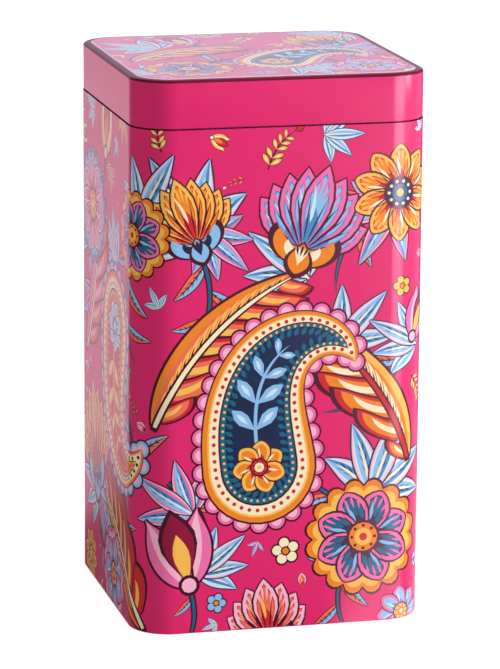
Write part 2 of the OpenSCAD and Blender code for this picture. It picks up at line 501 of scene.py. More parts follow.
# %% Long leaf with tongues
def long_leaf(draw, length, width, bend, teeth, inks):
    """A long curved leaf: one side is smooth, and on the other curling tongues lie over each other."""
    dark, smooth_half, tongue_ink, pale, rib = inks.split()
    line = spine(length, bend, 1.0, teeth * 4)
    body = swell(line, width)
    layers = ((1.1, 0.86, dark), (1.0, 0.7, "red"), (0.88, 0.5, tongue_ink), (0.66, 0.2, pale))
    for k in range(len(line) - 7, 1, -6):
        one = on(draw, line, k, -0.95)
        for long, wide, ink in layers:
            tongue = spine((body[k] * 1.75 + 0.35 * width) * long, 0.8, 1.6, steps=10)
            one(brush(tongue, (0.35 * width + 0.65 * body[k]) * wide, 0.9, 0.45), ink)
    half = body * 0.62
    for left, ink in ((half + 0.08 * width, dark), (half, smooth_half), (body * 0.4, tongue_ink)):
        draw(stroke(line, left, 0 * body), ink)
    for k in range(3, len(line) - 6, 3):
        one = on(draw, line, k, 0.55)
        one(brush(spine(body[k] * 0.95, -0.5, steps=6), width * 0.13), pale)
        one(0.05 * width + brush(spine(body[k] * 0.5, -0.3, steps=5), width * 0.05), dark)
    draw(brush(line, width * 0.26, 0.8, 0.3), dark)
    draw(brush(line[1:-1], width * 0.13, 0.8, 0.3), rib)


# %% Stems with narrow leaves
def split_leaf(draw, length, bend):
    """A narrow leaf with one pale half and one warm half, both hatched."""
    line = spine(length, bend, 1.0, 14)
    half = swell(line, length * 0.12)
    draw(stroke(line, half + 0.025 * length), "maroon")
    draw(stroke(line, half, 0 * half), "sky")
    draw(stroke(line, 0 * half, half), "coral")
    for k in (2, 4, 6, 8, 10):
        for side, ink in ((1, "teal"), (-1, "maroon")):
            one = on(draw, line, k, side * 0.6)
            one(brush(spine(half[k] * 1.15, -0.3 * side, steps=4), length * 0.022), ink)
    draw(brush(line, length * 0.03, 0.8, 0.3), "maroon")


def stem(draw, length, turn, leaves):
    """A curling stem with narrow leaves on alternate sides."""
    line = spine(length, turn, 1.6, 30)
    for i in range(leaves):
        side = 1 if i % 2 else -1
        one = on(draw, line, 5 + int(21 * i / leaves), side * 0.75)
        split_leaf(one, length * (0.4 - 0.12 * i / leaves), side * 0.5)
    draw(brush(line, 1.8, 0.8, 0.35), "maroon")
    draw(brush(line, 0.8, 0.7, 0.35), "teal")


# %% Sprigs
def sprig(draw, length, bend, pairs, inks, bud):
    """A curved stem with pairs of leaflets and a bud at its end."""
    dark, leaf, light = inks.split()
    line = spine(length, bend, 1.2, 20)
    draw(brush(line, length * 0.04, 0.8, 0.35), dark)
    for i in range(pairs):
        f = 0.14 + 0.78 * i / pairs
        long = length * (0.3 - 0.15 * f)
        for side in (1, -1):
            one = on(draw, line, int(f * (len(line) - 1)), side * 0.85)
            one(petal(long * 1.1, long * 0.54, 0.6, 8) - 0.03 * long, dark)
            one(petal(long, long * 0.38, 0.6, 8), leaf)
            one(0.25 * long + petal(long * 0.5, long * 0.12, 0.8, 5), light)
    tip = at(draw, line[-1], np.angle(line[-1] - line[-2]))
    long = length * 0.19
    tip(petal(long * 1.3, long * 0.95, 0.7, 9) - 0.15 * long, dark)
    tip(petal(long * 1.08, long * 0.66, 0.7, 9), bud)


# %% [markdown]
# ## The layout
# The wall's print repeats twice round the tin, as on a sheet that is cut for two panels. One repeat is a
# front face and a side face. The large motifs are set so that none meets the seam badly, and the rest are
# strewn by a seeded draw into whatever round gaps are still empty, largest first. A coarse grid of covered
# spots tells what is empty.

# %% Colourways
# Dark line, edge, body, shade and light; a bud has no shade, and a core names its beads third.
BLUE = "maroon rose sky blue ice"
SKY = "navy ice sky blue cream"
TEAL = "maroon rose teal navy sky"
FIRE = "maroon gold orange red cream"
CORAL = "maroon blush coral red gold"
BLUSH = "crimson blush rose crimson cream"
BUD_ROSE = "maroon rose crimson blush"
BUD_GOLD = "maroon gold red cream"
GOLD_CORE = "orange gold maroon red"
RED_CORE = "orange red cream gold"
BLUE_CUP = "maroon sky navy"
FLAME = "maroon orange coral gold cream"
NAVY_BANDS = ((0, 0.012, 0.045, 0.058, 0.118, 0.13, 0.165), "maroon orange gold cream maroon teal navy")
FIRE_BANDS = ((0, 0.012, 0.04, 0.058, 0.118, 0.13, 0.165), "maroon coral gold cream maroon orange red")


def stems(draw, rows):
    for place, turn, length, curl, leaves in rows:
        stem(at(draw, place, turn), length, curl, leaves)


def fans(draw, rows):
    for place, turn, size, inks, spread in rows:
        leaf_fan(at(draw, place, turn), size, 5, inks, spread)


# %% Large motifs on the wall
def wall_motifs(draw):
    """Places are in mm: the front face from 0 to 76, the side face from 76 to 152."""
    stems(draw, (
        (42+103j, -1.9, 34, 1.5, 3), (12+13j, -1.3, 18, -1.0, 1), (14+106j, -1.2, 32, -1.3, 3),
        (74+78j, -2.1, 34, -1.1, 3), (69+118j, -2.6, 34, 1.2, 3), (60+24j, -2.2, 32, 1.5, 3),
        (60+24j, 2.1, 30, 1.0, 2), (6+42j, -0.6, 26, -1.6, 3), (101+31j, -1.4, 30, 1.3, 3),
        (113+124j, -1.8, 36, -1.3, 3), (96+107j, -0.8, 40, -1.5, 4), (145+108j, -2.0, 38, 1.3, 4),
        (123+9j, 0.6, 34, 1.4, 3), (146+40j, 1.6, 36, 1.2, 3)))
    fans(draw, (
        (52+77j, -0.75, 20, SKY, 2.2), (13+33j, 1.0, 19, BLUE, 2.2), (44+96j, 0.9, 21, SKY, 1.9),
        (62+36j, -0.35, 24, SKY, 2.0), (14+16j, -0.9, 17, SKY, 1.6), (68+116j, 2.6, 20, BLUE, 2.4),
        (92+104j, -2.4, 24, SKY, 2.4), (128+96j, 0.9, 20, SKY, 1.6), (104+28j, 1.5, 22, SKY, 1.6),
        (104+28j, -1.7, 22, BLUE, 1.6), (126+14j, -0.3, 24, SKY, 1.8), (14+108j, 0.55, 25, SKY, 2.3),
        (15+110j, -2.3, 17, BLUE, 1.6), (76+76j, 1.1, 17, SKY, 1.8), (96+82j, 2.7, 18, BLUE, 2.0),
        (148+112j, -0.5, 21, SKY, 2.2)))
    long_leaf(at(draw, 2+56j, 1.2), 60, 9.5, -0.8, 13, FLAME)
    long_leaf(at(draw, 73+44j, 1.85, True), 50, 8.6, -0.7, 11, "maroon gold orange cream red")
    curled_drop(at(draw, 31+45j, 0.14), 44, 3.0, "maroon rose blush", NAVY_BANDS, "red", (FIRE, "sky", "ice"))
    half_flower(at(draw, 42+103j, -0.32), 24, 9, BLUE, "maroon orange cream")
    rosette(at(draw, 60+24j), 16, 8, TEAL, "orange gold", GOLD_CORE)
    three_petals(at(draw, 12+13j, 0.25), 23, BUD_ROSE, "gold")
    rosette(at(draw, 69+118j), 13, 10, FIRE, None, "navy teal cream gold")
    half_flower(at(draw, 34-3j, 0.1), 17, 7, CORAL, "maroon teal gold")
    half_flower(at(draw, 14+106j, 0.35), 19, 9, FIRE, BLUE_CUP)
    three_petals(at(draw, 74+78j, -0.5), 15, BUD_ROSE, "gold")
    long_leaf(at(draw, 87+64j, 0.9), 56, 9.4, 0.7, 12, "maroon rose coral blush cream")
    long_leaf(at(draw, 150+0j, 2.1), 52, 9.6, 0.8, 12, "maroon orange red gold cream")
    curled_drop(at(draw, 125+79j, -0.2, True), 43, 3.0, "maroon sky blush", FIRE_BANDS, "navy",
                (SKY, "gold", "cream"))
    rosette(at(draw, 96+107j), 16, 9, BLUSH, "blue sky", "gold orange crimson cream")
    half_flower(at(draw, 101+31j, 0.22), 27, 9, FIRE, BLUE_CUP)
    rosette(at(draw, 123+9j), 13, 7, BLUE, "rose blush", RED_CORE)
    three_petals(at(draw, 113+124j, -0.2), 18, BUD_GOLD, "orange")
    rosette(at(draw, 145+108j), 12, 8, TEAL, "orange gold", GOLD_CORE)


# %% Large motifs on the lid
def lid_motifs(draw):
    """The lid's own layout, from its middle. Up the page is towards the back."""
    stems(draw, ((-22-22j, 0.9, 44, -1.2, 4), (26+14j, -1.3, 30, -1.0, 2), (-12+20j, -1.4, 22, 1.2, 2),
                 (27-25j, 2.4, 30, -1.2, 3)))
    fans(draw, ((-22+14j, 0.8, 20, SKY, 2.2), (6-24j, -2.0, 19, SKY, 2.0), (26+4j, -0.9, 18, BLUE, 2.0),
                (-30-30j, 0.2, 18, SKY, 1.8), (34+32j, 2.0, 19, SKY, 2.0)))
    long_leaf(at(draw, -34-8j, 1.0), 44, 7.6, -0.9, 10, FLAME)
    curled_drop(at(draw, 4-14j, -0.5), 30, 3.0, "maroon rose blush", NAVY_BANDS, "red", (FIRE, "sky", "ice"))
    rosette(at(draw, -22-22j), 12, 8, TEAL, "orange gold", GOLD_CORE)
    half_flower(at(draw, 26+14j, 0.3), 17, 7, FIRE, BLUE_CUP)
    rosette(at(draw, 27-25j), 10, 7, BLUE, "rose blush", RED_CORE)
    three_petals(at(draw, -12+20j, 0.3), 15, BUD_ROSE, "gold")


# %% Small motifs for the gaps
def strewn(pen, radius, kind, pick):
    """A motif for a round gap; the smallest gaps get a single petal."""
    r = radius * 0.92
    if radius <= 3:
        shaded_petal(at(pen, -r), radius * 1.84, radius, (FIRE, BLUE, CORAL, BLUSH)[kind], 0.8)
    elif kind == 0 and radius > 5:
        rosette(pen, r, 8, (BLUE, FIRE, BLUSH)[pick], None, "gold orange maroon cream")
    elif kind == 0:
        small_flower(pen, r, "maroon", ("cream", "gold", "sky")[pick], "orange")
    elif kind == 1 and radius > 5:
        sprig(at(pen, -r), r * 1.75, 0.7, 5, "navy sky ice", "orange")
    elif kind == 1:
        sprig(at(pen, -r), r * 1.7, 0.6, 3, "maroon coral gold", "cream")
    elif kind == 2 and radius > 5:
        sprig(at(pen, -r), r * 1.75, -0.8, 5, "maroon gold cream", "red")
    elif kind == 2:
        leaf_fan(at(pen, -0.7j * r), r * 1.5, 3, (SKY, BLUE, SKY)[pick], 1.4)
    elif radius > 5:
        leaf_fan(at(pen, -0.7j * r), r * 1.5, 5, (SKY, FIRE, CORAL)[pick])
    else:
        three_petals(at(pen, -0.9j * r), r * 1.75, (BUD_GOLD, BUD_ROSE, BUD_GOLD)[pick], "orange")


def strew(draw, free, rng, low, high):
    """Fills the box from low to high with small motifs, largest first."""
    for radius, tries in ((8.0, 700), (6.2, 900), (4.6, 900), (3.3, 700), (2.3, 260)):
        for _ in range(tries):
            place = complex(rng.uniform(low.real, high.real), rng.uniform(low.imag, high.imag))
            if free(place, radius):
                pen = at(draw, place, rng.uniform(0, TAU))
                kind = rng.integers(4)
                strewn(pen, radius, kind, rng.integers(3))


# %% Covered spots
CELL = 0.4


def inside(poly, x, y):
    """Which points lie inside an outline, also where it crosses itself."""
    px, py = poly.real, poly.imag
    qx, qy = np.roll(px, -1), np.roll(py, -1)
    x = x[:, None]
    y = y[:, None]
    cross = (qx - px) * (y - py) - (x - px) * (qy - py)
    rising = (py <= y) & (qy > y) & (cross > 0)
    falling = (py > y) & (qy <= y) & (cross < 0)
    return (rising.sum(1) - falling.sum(1)) != 0


class Ground:
    """A coarse grid of the spots that a print already covers. It can join at its left and right ends."""

    def __init__(self, low, high, joined):
        self.low = low
        self.joined = joined
        tall = int((high.imag - low.imag) / CELL) + 1
        self.covered = np.zeros((tall, round((high.real - low.real) / CELL)), bool)

    def spots(self, i, j):
        """The rows and columns that are on the grid."""
        tall, wide = self.covered.shape
        on_grid = (j >= 0) & (j < tall) & (self.joined | (i >= 0) & (i < wide))
        return j[on_grid], i[on_grid] % wide

    def cover(self, poly):
        poly = poly - self.low
        i = np.arange(int(poly.real.min() / CELL) - 1, int(poly.real.max() / CELL) + 2)
        j = np.arange(int(poly.imag.min() / CELL) - 1, int(poly.imag.max() / CELL) + 2)
        i, j = (each.ravel() for each in np.meshgrid(i, j))
        hit = inside(poly, (i + 0.5) * CELL, (j + 0.5) * CELL)
        self.covered[self.spots(i[hit], j[hit])] = True

    def free(self, place, radius):
        """Tells whether a round space is empty, and covers it if so."""
        n = int(radius / CELL) + 1
        j, i = np.mgrid[-n:n + 1, -n:n + 1]
        disc = (i ** 2 + j ** 2) * CELL * CELL <= radius * radius
        place = place - self.low
        spots = self.spots(int(place.real / CELL) + i[disc], int(place.imag / CELL) + j[disc])
        if self.covered[spots].any():
            return False
        self.covered[spots] = True
        return True


# %% Draw both prints
def compose(motifs, low, high, seed, joined):
    """The outlines of a whole print, in the order in which the inks go on."""
    outlines = []

    def draw(points, ink):
        outlines.append((np.asarray(points, complex), NUMBER[ink]))

    motifs(draw)
    ground = Ground(low, high, joined)
    for poly, _ in outlines:
        ground.cover(poly)
    strew(draw, ground.free, np.random.default_rng(seed), low, high)
    return outlines


wall_print = compose(wall_motifs, 0j, complex(REPEAT, WALL_TOP), 7, True)
lid_print = compose(lid_motifs, -37-37j, 37+37j, 11, False)
print("outlines:", len(wall_print), "on the wall,", len(lid_print), "on the lid")

# %% [markdown]
# ## Cutting the drawing into the sheet
# An image texture would be the usual way to print a tin. Here the outlines become edges of the mesh, so
# the print is sharp at any distance. A constrained Delaunay triangulation is told all outlines at once and
# returns triangles that no outline crosses. Each triangle takes the ink that was laid last over its
# middle. Edges between two triangles of one ink are then of no use, so only the others are kept, points
# on straight runs are dropped, and the sheet is triangulated again with far fewer faces.

# %% Clip outlines to the sheet
def clip(poly, keep):
    """Cuts an outline along a straight line; keep(z) is positive on the side that stays."""
    d = keep(poly)
    out = []
    for z, w, a, b in zip(poly, np.roll(poly, -1), d, np.roll(d, -1)):
        if a >= 0:
            out.append(z)
        if (a >= 0) != (b >= 0):
            out.append(z + (w - z) * a / (a - b))
    return np.array(out)


def clipped(outlines, low, high, shifts):
    """Every copy of every outline that reaches into the box, cut to it."""
    sides = (lambda z: z.real - low.real, lambda z: high.real - z.real,
             lambda z: z.imag - low.imag, lambda z: high.imag - z.imag)
    out = []
    for poly, ink in outlines:
        for shift in shifts:
            q = poly + shift
            if any(side(q).max() <= 0 for side in sides):
                continue
            for side in sides:
                if len(q) and side(q).min() < 0:
                    q = clip(q, side)
            if len(q) > 2:
                out.append((q, ink))
    return out


# %% Triangulate and ink
def add_line(points, edges, line, closed=False):
    """Adds a row of points and the edges between them."""
    first = len(points)
    points.extend(line)
    edges.extend((first + i, first + i + 1) for i in range(len(line) - 1))
    if closed:
        edges.append((first + len(line) - 1, first))


def triangles(points, edges, outlines):
    """Triangles of the plane with every edge kept, each with the ink laid last over its middle."""
    made = delaunay_2d_cdt([Vector((z.real, z.imag)) for z in points], edges, [], 1, 1e-5, False)
    places = np.array([complex(*v) for v in made[0]])
    faces = np.array([f for f in made[2] if len(f) == 3], int)
    middles = places[faces].mean(1)
    order = np.argsort(middles.real)
    x = middles.real[order]
    y = middles.imag[order]
    inked = np.full(len(x), NUMBER["pink"])
    for poly, number in outlines:
        start, end = np.searchsorted(x, (poly.real.min(), poly.real.max()))
        near = start + np.nonzero((y[start:end] >= poly.imag.min()) & (y[start:end] <= poly.imag.max()))[0]
        if len(near):
            inked[near[inside(poly, x[near], y[near])]] = number
    ink = np.empty(len(x), int)
    ink[order] = inked
    return places, faces, ink


def first_cut(outlines, border):
    """Triangulates all outlines inside a border."""
    points = []
    edges = []
    for line in (border, *(poly for poly, _ in outlines)):
        add_line(points, edges, line, True)
    return triangles(points, edges, outlines)


def second_cut(points, kept, outlines):
    """Triangulates the points that the kept edges use."""
    used, number = np.unique(np.array(kept), return_inverse=True)
    return triangles(np.array(points)[used], number.reshape(-1, 2).tolist(), outlines)


# %% Keep the edges between inks
def sides_of(faces):
    """The three edges of every triangle."""
    return np.sort(np.concatenate([faces[:, [0, 1]], faces[:, [1, 2]], faces[:, [2, 0]]]), axis=1)


def ink_edges(faces, ink):
    """The edges that have a different ink on either side."""
    pairs = sides_of(faces)
    order = np.lexsort((pairs[:, 1], pairs[:, 0]))
    pairs = pairs[order]
    owner = np.tile(ink, 3)[order]
    same = (pairs[1:] == pairs[:-1]).all(1)
    return pairs[1:][same & (owner[1:] != owner[:-1])]


SLACK = 0.012


def straighten(places, edges, fixed):
    """Drops points that lie within SLACK of a straight run between their two neighbours."""
    near = {}
    for a, b in edges.tolist():
        near.setdefault(a, set()).add(b)
        near.setdefault(b, set()).add(a)
    for _ in range(3):
        busy = set()
        for p in list(near):
            if p in busy or p in fixed or len(near[p]) != 2:
                continue
            a, b = near[p]
            along = places[b] - places[a]
            off = (np.conj(along) * (places[p] - places[a])).imag
            if b in near[a] or abs(off) > SLACK * abs(along) or abs(along) < SLACK:
                continue
            near[a].remove(p)
            near[b].remove(p)
            near[a].add(b)
            near[b].add(a)
            del near[p]
            busy.update((a, b))
    return sorted((a, b) for a in near for b in near[a] if a < b)


# %% [markdown]
# ## Bending the sheet
# A place on the unrolled wall is u, the way round from the middle of the back, and z, the height. A
# station gives the point of the inner core square below it and the direction that faces out there. All
# sheets of the tin share those stations, so wall, neck and lid keep their gaps round every corner, and
# the exact direction also gives smooth shading that no triangle can spoil.

# %% Stations round the tin
CORNER_STEPS = 22


def station(u):
    """The core point and the outward direction at u mm round the wall."""
    s = np.asarray(u, float) + SIDE / 2
    k = np.floor(s / (SIDE + ARC) + 1e-9)
    r = s - k * (SIDE + ARC)
    quarter = 1j ** (k % 4)
    core = quarter * (SIDE / 2 * (1 + 1j) - np.clip(r, 0, SIDE))
    turn = np.clip((r - SIDE) / ARC, 0, 1)
    return core, 1j * quarter * np.exp(0.5j * np.pi * turn)


def folded(u, h):
    """The place in plan at u mm round the wall and h mm from the middle."""
    core, out = station(u)
    return core + out * (h - CORE)


def in_space(plan, z):
    """Places in plan and their heights as points."""
    return np.stack([plan.real, plan.imag, np.broadcast_to(z, plan.shape)], -1)


def way_round(place):
    """The u of a place in plan."""
    u = np.zeros(len(place))
    for k in range(4):
        q = place * (-1j) ** k
        beta = np.arctan2(-(q.real + CORE), q.imag - CORE)
        beyond = q.imag > CORE
        u = np.where((np.abs(q.real) <= CORE) & beyond, k * (SIDE + ARC) - q.real, u)
        u = np.where((q.real < -CORE) & beyond, k * (SIDE + ARC) + CORE + beta * CORNER, u)
    return u % GIRTH


def corner_folds(repeats):
    """The u of every upright line of a corner."""
    first = CORE + np.linspace(0, ARC, CORNER_STEPS + 1)
    return np.concatenate([first + i * (SIDE + ARC) for i in range(2 * repeats)])


print(f"{CORNER_STEPS} folds to each corner")

# %% [markdown]
# ## Sections
# Everything that isn't the flat print is a section: a line of distance and height that is swept round
# all stations. Hems, folded edges and the step of the lid are drawn as such lines. Neighbouring runs share
# a normal where they meet at a slight angle and keep an edge where they don't.

# %% Section helpers
def bend(h, z, r, start, end, steps=6):
    """Points of a quarter bend, its angles in degrees."""
    angles = np.radians(np.linspace(start, end, steps + 1))
    return [(h + r * math.cos(a), z + r * math.sin(a)) for a in angles]


def section_normals(p):
    """The two end normals of every run of a section, left of the way it goes."""
    runs = 1j * np.diff(p) / np.abs(np.diff(p))
    start = runs.copy()
    end = runs.copy()
    soft = (runs[1:] * np.conj(runs[:-1])).real > math.cos(math.radians(32))
    shared = runs[1:] + runs[:-1]
    shared = shared / np.maximum(np.abs(shared), 1e-9)
    end[:-1][soft] = shared[soft]
    start[1:][soft] = shared[soft]
    return start, end


# %% A sheet under construction
class Sheet:
    """Points, faces, inks, normals and the flat layout of one piece of tin."""

    def __init__(self):
        self.points = []
        self.faces = []
        self.inks = []
        self.normals = []
        self.layout = []

    def add_points(self, points):
        """Adds points in millimetres and returns the number of the first."""
        self.points.extend(map(tuple, points))
        return len(self.points) - len(points)

    def add_faces(self, faces, inks, normals, layout):
        """Adds faces, turned so that they face along their normals."""
        p = np.array(self.points)
        true = np.cross(p[faces[:, 1]] - p[faces[:, 0]], p[faces[:, 2]] - p[faces[:, 0]])
        wrong = (true * normals.sum(1)).sum(1) < 0
        for table in (faces, normals, layout):
            table[wrong] = table[wrong, ::-1]
        self.faces.extend(faces.tolist())
        self.inks.extend(np.broadcast_to(inks, len(faces)).tolist())
        self.normals.extend(normals.reshape(-1, 3).tolist())
        self.layout.extend(layout.ravel().tolist())

    def sweep(self, u, section, inks, first_ring, last_ring, low):
        """Sweeps a section round all stations from a ring of points, and to another if one is given."""
        core, out = station(u)
        rings = [first_ring]
        for h, z in section[1:] if last_ring is None else section[1:-1]:
            first = self.add_points(in_space(core + out * (h - CORE), z))
            rings.append(first + np.arange(len(u)))
        if last_ring is not None:
            rings.append(last_ring)
        line = np.array([complex(*q) for q in section])
        start, end = section_normals(line)
        flow = np.append(0, np.cumsum(np.abs(np.diff(line)))) / GIRTH + low
        right = np.append(u[1:], u[0] + GIRTH)
        across = np.stack([u, right, right, u], 1) / GIRTH
        way = np.stack([out, np.roll(out, -1), np.roll(out, -1), out], 1)
        for j, (a, b) in enumerate(zip(rings[:-1], rings[1:])):
            faces = np.stack([a, np.roll(a, -1), np.roll(b, -1), b], 1)
            n = np.array([start[j], start[j], end[j], end[j]])
            rise = flow[[j, j, j + 1, j + 1]]
            self.add_faces(faces, NUMBER[inks[j]], in_space(n.real * way, n.imag), across + 1j * rise)
        return rings[-1]

    def piece(self, name):
        """The finished Blender object, with its inks, normals and layout."""
        mesh = bpy.data.meshes.new(name)
        mesh.from_pydata((np.array(self.points) * MM).tolist(), [], self.faces)
        used = sorted(set(self.inks))
        for number in used:
            mesh.materials.append(list(FINISHES.values())[number])
        mesh.polygons.foreach_set("material_index", np.searchsorted(used, self.inks).astype(np.int32))
        layout = np.array(self.layout)
        layer = mesh.uv_layers.new(name="OFBake")
        layer.data.foreach_set("uv", np.stack([layout.real, layout.imag], 1).astype(np.float32).ravel())
        mesh.polygons.foreach_set("use_smooth", np.ones(len(self.faces), bool))
        mesh.normals_split_custom_set(self.normals)
        mesh.update()
        print(f"{name}: {len(self.faces)} faces, {len(used)} finishes")
        return placed(name, mesh)


# %% [markdown]
# ## The printed wall
# The wall could be a box with rounded edges and a picture on it. It is made here as the tinsmith makes
# it: the flat print is cut with its fold lines, bent round the stations, and the rest of the sheet goes
# on from its upper and lower edge, round the foot, up the inside and over the cut top edge. The lock seam
# shows outside as one hairline groove at the back.

# %% Map of one repeat
# The map stops LIP below the top, where the cut edge is rounded. A point within NEAR of an end lies on it.
LIP = 0.05
NEAR = 1e-3
LOW = complex(0, SHEET)
HIGH = complex(REPEAT, WALL_TOP - LIP)


def snap(values, to):
    """Moves each value to its nearest neighbour in a sorted list."""
    i = np.clip(np.searchsorted(to, values), 1, len(to) - 1)
    return np.where(values - to[i - 1] < to[i] - values, to[i - 1], to[i])


def distinct(*values):
    """Sorted values, no two closer than 0.004 mm."""
    values = np.sort(np.concatenate(values))
    return values[np.append(True, np.diff(values) > 0.004)]


def wall_map():
    """One repeat of the wall, cut along its inks and folds, with matching ends."""
    outlines = clipped(wall_print, LOW, HIGH, [0.75 * REPEAT + k * REPEAT for k in (-2, -1, 0, 1)])
    places, faces, ink = first_cut(outlines, [LOW, complex(REPEAT, LOW.imag), HIGH, complex(0, HIGH.imag)])
    edges = ink_edges(faces, ink)
    x = np.clip(places.real, 0, REPEAT)
    y = np.clip(places.imag, LOW.imag, HIGH.imag)
    level = (y < LOW.imag + NEAR) | (y > HIGH.imag - NEAR)
    upright = (x < NEAR) | (x > REPEAT - NEAR)
    used = np.zeros(len(places), bool)
    used[edges.ravel()] = True
    folds = np.concatenate([corner_folds(1), [SEAM_LEFT, SEAM_LEFT + 0.05, SEAM_RIGHT - 0.05, SEAM_RIGHT]])
    across = distinct([0, REPEAT], folds, x[used & level])
    upward = distinct([LOW.imag, HIGH.imag], y[used & upright])
    ends = np.where(x < REPEAT / 2, 0, REPEAT)
    edge_heights = np.where(y < WALL_TOP / 2, LOW.imag, HIGH.imag)
    x = np.where(upright, ends, np.where(level, snap(x, across), x))
    y = np.where(level, edge_heights, np.where(upright, snap(y, upward), y))
    places = x + 1j * y
    kept = straighten(places, edges, set(np.nonzero(level | upright)[0].tolist()))
    points = list(places)
    for line in (across + 1j * LOW.imag, across + 1j * HIGH.imag, 1j * upward, REPEAT + 1j * upward):
        add_line(points, kept, line)
    for u in snap(folds, across):
        add_line(points, kept, [complex(u, LOW.imag), complex(u, HIGH.imag)])
    return second_cut(points, kept, outlines)


wall_places, wall_faces, wall_ink = wall_map()
print("one repeat:", len(wall_places), "points,", len(wall_faces), "triangles")


# %% Bend the wall
def numbered_twice(places):
    """Point numbers for two repeats that share their ends."""
    left = np.nonzero(places.real < NEAR)[0]
    right = np.nonzero(places.real > REPEAT - NEAR)[0]
    left = left[np.argsort(places.imag[left])]
    right = right[np.argsort(places.imag[right])]
    print("ends of the repeat:", len(left), "and", len(right), "points")
    first = np.arange(len(places))
    second = first + len(places)
    first[right] = left + len(places)
    second[right] = left
    return first, second


def wall_ring(on_edge):
    """The point numbers and u of an edge of both repeats, in order."""
    edge = np.nonzero(on_edge)[0]
    edge = edge[np.argsort(wall_places.real[edge])][:-1]
    u = wall_places.real[edge]
    return np.concatenate([numbers[edge] for numbers in wall_numbers]), np.append(u, u + REPEAT)


wall = Sheet()
wall_numbers = numbered_twice(wall_places)
for repeat in (0, 1):
    u = wall_places.real + repeat * REPEAT
    groove = np.where((u > SEAM_LEFT + 0.02) & (u < SEAM_RIGHT - 0.02), SEAM_DEEP, 0.0)
    wall.add_points(in_space(folded(u, HALF - groove), wall_places.imag))
for repeat, numbers in enumerate(wall_numbers):
    corners = wall_places[wall_faces] + repeat * REPEAT
    middle = corners.real.mean(1)
    ink = np.where((middle > SEAM_LEFT) & (middle < SEAM_RIGHT), NUMBER["edge"], wall_ink)
    wall.add_faces(numbers[wall_faces], ink, in_space(station(corners.real)[1], 0.0), corners / GIRTH)

# %% Hem, inside and top edge of the wall
WALL_IN = HALF - SHEET
HEM_OUT = WALL_IN - 0.04 - SHEET - 0.04
HEM_IN = HEM_OUT - SHEET
foot_ring, foot_u = wall_ring(wall_places.imag < LOW.imag + NEAR)
top_ring, top_u = wall_ring(wall_places.imag > HIGH.imag - NEAR)
print("foot and top:", len(foot_u), len(top_u), "stations, apart by", float(abs(foot_u - top_u).max()))
wall_section = bend(WALL_IN, SHEET, SHEET, 0, -90) + bend(HEM_OUT, SHEET, SHEET, -90, -180)
# The last three runs, over the cut top edge, take the painted shade finish.
wall_runs = ["pink"] * len(wall_section) + ["edge"] + ["tin"] * 3 + ["shade"] * 3
wall_section += [(HEM_IN, HEM), (HEM_OUT, HEM), (HEM_OUT, SHEET), (WALL_IN, SHEET), (WALL_IN, WALL_TOP - LIP),
                 (WALL_IN + LIP, WALL_TOP), (HALF - LIP, WALL_TOP), (HALF, WALL_TOP - LIP)]
wall.sweep(foot_u, wall_section, wall_runs, foot_ring, top_ring, (WALL_TOP + 2) / GIRTH)
printed_wall = wall.piece("printed_wall")
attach(printed_wall, "caddy")
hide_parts("body_wall")

# %% [markdown]
# ## The printed lid
# The lid is drawn from one sheet in a press. Its raised panel carries the print, its border is a dark
# plum band that wraps over the edge, and its skirt is plain. The panel is cut like the wall, inside an
# outline with round corners, and one section goes on from that outline: down the step, across the
# border, over the edge, down the skirt, round the hem, and back inside to the panel's underside.

# %% Map of the panel
PANEL_RISE = 0.2
STEP = LID_HALF - 2.1
PANEL = STEP - 0.5
BORDER_TOP = LID_TOP - PANEL_RISE


def panel_map():
    """The lid's flat panel, cut along its inks."""
    border = folded(corner_folds(2), PANEL)
    edge = PANEL * (1 + 1j)
    outlines = clipped(lid_print, -edge, edge, [0])

    def within(places, faces, ink):
        middles = places[faces].mean(1)
        keep = inside(border, middles.real, middles.imag)
        return places, faces[keep], ink[keep]

    places, faces, ink = within(*first_cut(outlines, border))
    kept = straighten(places, ink_edges(faces, ink), set())
    points = list(places)
    add_line(points, kept, border, True)
    return within(*second_cut(points, kept, outlines))


panel_places, panel_faces, panel_ink = panel_map()
found, count = np.unique(sides_of(panel_faces), axis=0, return_counts=True)
panel_ring = np.unique(found[count == 1])
panel_ring = panel_ring[np.argsort(way_round(panel_places[panel_ring]))]
panel_u = way_round(panel_places[panel_ring])
panel_places[panel_ring] = folded(panel_u, PANEL)
print("panel:", len(panel_places), "points,", len(panel_faces), "triangles,", len(panel_u), "round it")

# %% Panel, border, skirt and hem of the lid
LID_EDGE = 0.7
LID_IN = LID_HALF - SHEET
LID_HEM_IN = LID_IN - SHEET
LID_HEM = 2.2


def facing(faces, z):
    """Normals that point straight up or down."""
    return np.tile((0.0, 0.0, z), (len(faces), 3, 1))


def beside(plan, over):
    """The layout of a flat part, next to the wall's."""
    return (plan + HALF * (1 + 1j) + over) / GIRTH


lid = Sheet()
lid.add_points(in_space(panel_places, LID_TOP))
lid.add_faces(panel_faces, panel_ink, facing(panel_faces, 1.0), beside(panel_places[panel_faces], 100j))
lid_section = [(PANEL, LID_TOP), (STEP, BORDER_TOP)]
lid_section += bend(LID_HALF - LID_EDGE, BORDER_TOP - LID_EDGE, LID_EDGE, 90, 0)
lid_section += bend(LID_IN, LID_LOW + SHEET, SHEET, 0, -90, 4)
lid_section += [(LID_HEM_IN + SHEET / 2, LID_LOW), (LID_HEM_IN, LID_LOW + SHEET),
                (LID_HEM_IN, LID_LOW + LID_HEM), (LID_IN, LID_LOW + LID_HEM)]
lid_section += bend(LID_HALF - LID_EDGE, BORDER_TOP - LID_EDGE, LID_EDGE - SHEET, 0, 90)
lid_section += [(STEP, BORDER_TOP - SHEET), (PANEL, LID_TOP - SHEET)]
lid_runs = ["blush"] + ["border"] * 7 + ["pink"] * 3 + ["border"] * 5 + ["edge"] + ["tin"] * 9
